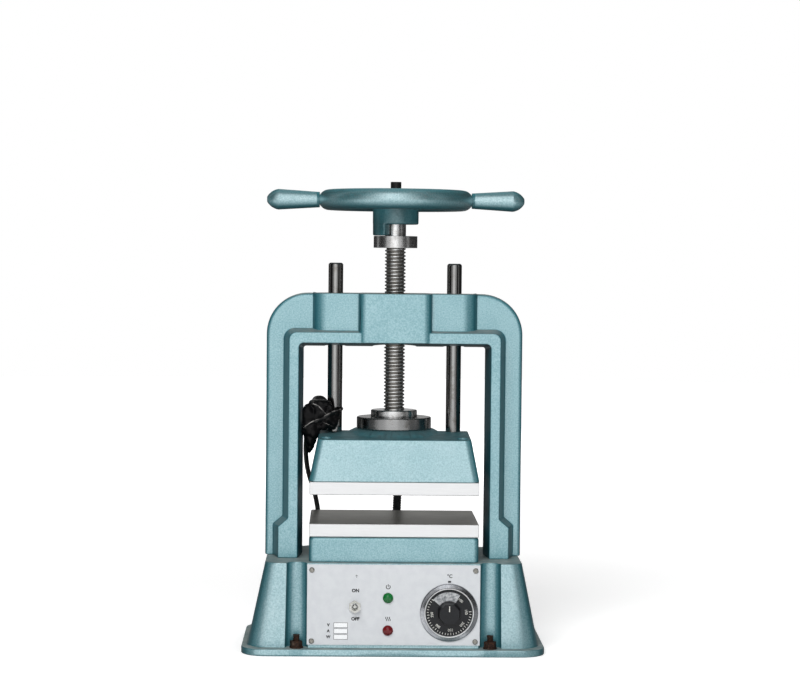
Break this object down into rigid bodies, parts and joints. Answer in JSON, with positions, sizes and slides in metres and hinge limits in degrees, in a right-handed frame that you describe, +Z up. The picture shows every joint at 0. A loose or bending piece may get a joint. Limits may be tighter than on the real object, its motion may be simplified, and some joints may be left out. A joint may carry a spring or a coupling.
{
  "type": "rubber mold vulcanizer",
  "caption": "Bench screw press with heated platens, cast frame, handwheel, guide rods and a control panel with switch, lamps and thermostat dial.",
  "frame": {"origin": "middle of the base on the bench plane, on the screw's axis", "axes": "+Z up along the screw, +X to the right seen from the control panel, -Y out of the control panel"},
  "size_m": [0.3634, 0.2854, 0.5659],
  "materials": {
    "enamel": "hammertone",
    "cast_paint": "hammertone",
    "platen_metal": "milled",
    "steel": "turned",
    "dark_steel": "polished, dark",
    "bronze": "turned",
    "panel_metal": "satin",
    "plated": "bright",
    "rusty_steel": "rusty",
    "black_steel": "black oxide",
    "insulation": "matte",
    "heater": "satin",
    "black_plastic": "gloss",
    "green_glass": "clear",
    "red_glass": "clear",
    "cord": "gloss"
  },
  "bodies": {
    "base": {"base_casting": "enamel", "bottom_cover": "heater", "cover_screws": "steel", "press_frame": "cast_paint", "frame_bolts": "black_steel", "screw_nut": "bronze", "guide_bushes": "bronze", "lower_head": "enamel", "lower_head_bolts": "black_steel", "lower_insulation": "insulation", "lower_heater": "heater", "lower_platen": "platen_metal", "control_panel": "panel_metal", "panel_screws": "plated", "toggle_body": "black_plastic", "toggle_nut": "plated", "green_lens": "green_glass", "red_lens": "red_glass", "lamp_bodies": "black_plastic", "thermostat_body": "heater", "dial_bezel": "plated", "hold_down_studs": "rusty_steel", "hold_down_nuts": "rusty_steel", "hold_down_washers": "rusty_steel", "lead_inlet_gland": "black_plastic", "conduit_inlet_gland": "black_plastic", "mains_inlet_gland": "black_plastic"},
    "ram": {"upper_head": "enamel", "upper_head_bolts": "black_steel", "upper_insulation": "insulation", "upper_heater": "heater", "upper_platen": "platen_metal", "guide_rods": "dark_steel", "bearing_flange": "steel", "flange_screws": "black_steel", "retaining_cap": "steel", "thrust_lower_race": "steel", "thrust_balls": "plated", "bearing_washer": "bronze", "head_gland": "black_plastic", "conduit_head_gland": "black_plastic", "lead_from_head": "cord", "lead_coil": "cord", "lead_to_base": "cord", "head_conduit": "cord"},
    "screw": {"thrust_upper_race": "steel", "main_screw": "dark_steel", "drive_bar": "steel", "top_washer": "dark_steel", "top_screw": "black_steel"},
    "wheel": {"handwheel": "enamel", "wheel_handles": "enamel"},
    "toggle": {"toggle_lever": "plated"},
    "dial": {"dial_knob": "black_plastic"}
  },
  "joints": [
    {"name": "screw_turn", "type": "hinge", "parent": "ram", "child": "screw", "pos_m": [0, 0, 0.26], "axis": [0, 0, 1], "range_deg": [-2926, 5103]},
    {"name": "ram_slide", "type": "slide", "parent": "base", "child": "ram", "axis": [0, 0, 1], "range_m": [-0.0344, 0.06], "deforming": ["lead_to_base", "head_conduit"]},
    {"name": "handwheel_spin", "type": "hinge", "parent": "screw", "child": "wheel", "pos_m": [0, 0, 0.5275], "axis": [0, 0, 1], "range_deg": [-67, 187]},
    {"name": "toggle_tilt", "type": "hinge", "parent": "base", "child": "toggle", "pos_m": [-0.0461, -0.0905, 0.0585], "axis": [1, 0, 0], "range_deg": [0, 24]},
    {"name": "dial_turn", "type": "hinge", "parent": "base", "child": "dial", "pos_m": [0.0661, -0.0905, 0.0518], "axis": [0, -1, 0], "range_deg": [0, 300]}
  ],
  "couplings": [
    {"joint": "screw_turn", "follows": "ram_slide", "rad_per_m": 1484.2}
  ]
}
